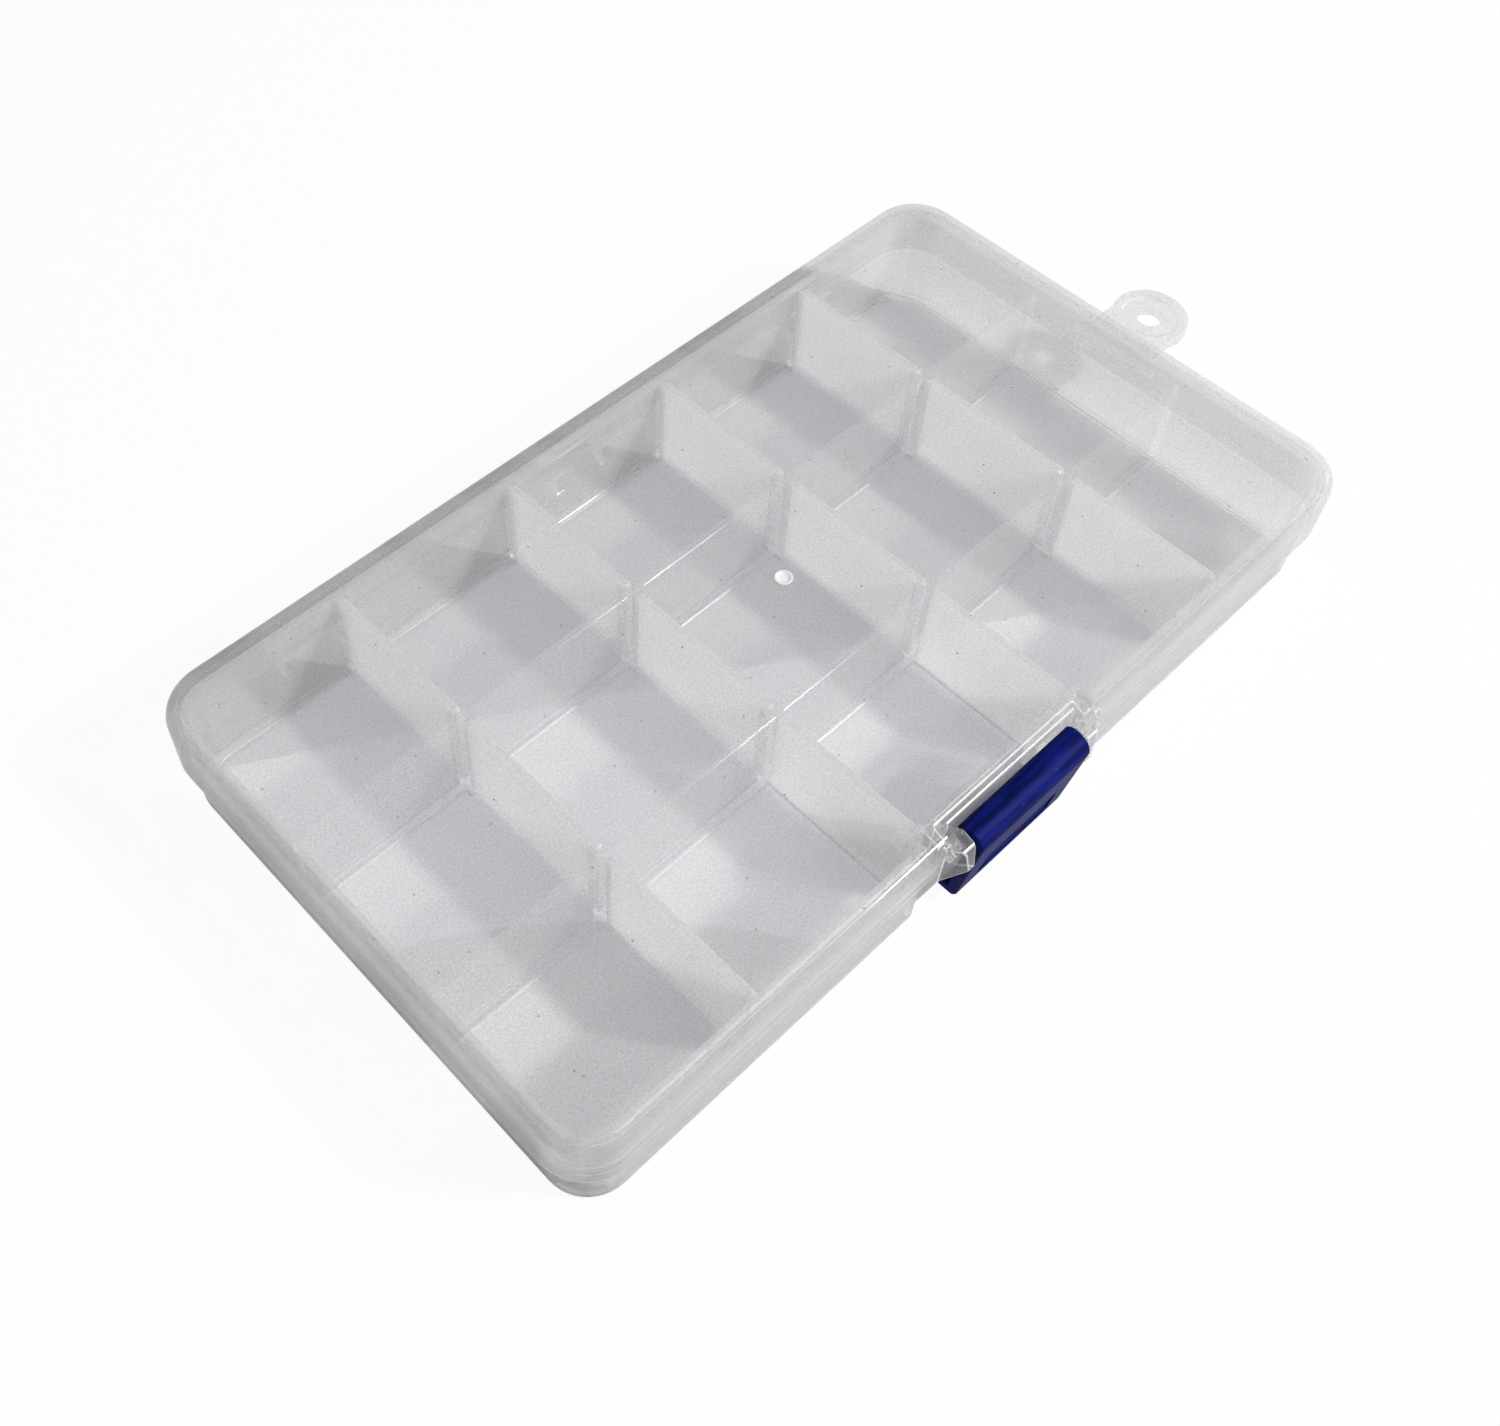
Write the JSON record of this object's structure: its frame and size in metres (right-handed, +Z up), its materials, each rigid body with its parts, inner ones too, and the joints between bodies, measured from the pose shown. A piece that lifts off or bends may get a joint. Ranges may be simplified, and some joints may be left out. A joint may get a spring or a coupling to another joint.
{
  "type": "compartment storage box",
  "caption": "Flat translucent storage box with loose cross dividers in guide ribs, a hinged lid, a front latch and a hang tab.",
  "frame": {"origin": "centre of the tray's underside, on the surface that the box stands on", "axes": "+X along the box towards the hang tab, -Y towards the latch, +Z up"},
  "size_m": [0.1927, 0.105, 0.023],
  "materials": {
    "tray_plastic": "translucent polypropylene, fine haze",
    "lid_plastic": "translucent polypropylene, fine haze",
    "divider_plastic": "translucent polypropylene, satin",
    "latch_plastic": "opaque blue polypropylene, glossy"
  },
  "bodies": {
    "tray": {"tray": "tray_plastic", "divider_back_1": "divider_plastic", "divider_back_2": "divider_plastic", "divider_back_3": "divider_plastic", "divider_back_4": "divider_plastic", "divider_middle_1": "divider_plastic", "divider_middle_2": "divider_plastic", "divider_middle_3": "divider_plastic", "divider_middle_4": "divider_plastic", "divider_front_1": "divider_plastic", "divider_front_4": "divider_plastic"},
    "lid": {"lid": "lid_plastic"},
    "latch": {"latch": "latch_plastic"}
  },
  "joints": [
    {"name": "lid_hinge", "type": "hinge", "parent": "tray", "child": "lid", "pos_m": [0, 0.051, 0.0115], "axis": [-1, 0, 0], "range_deg": [0, 180]},
    {"name": "latch_hinge", "type": "hinge", "parent": "lid", "child": "latch", "pos_m": [0, -0.0489, 0.019], "axis": [-1, 0, 0], "range_deg": [0, 110]}
  ]
}
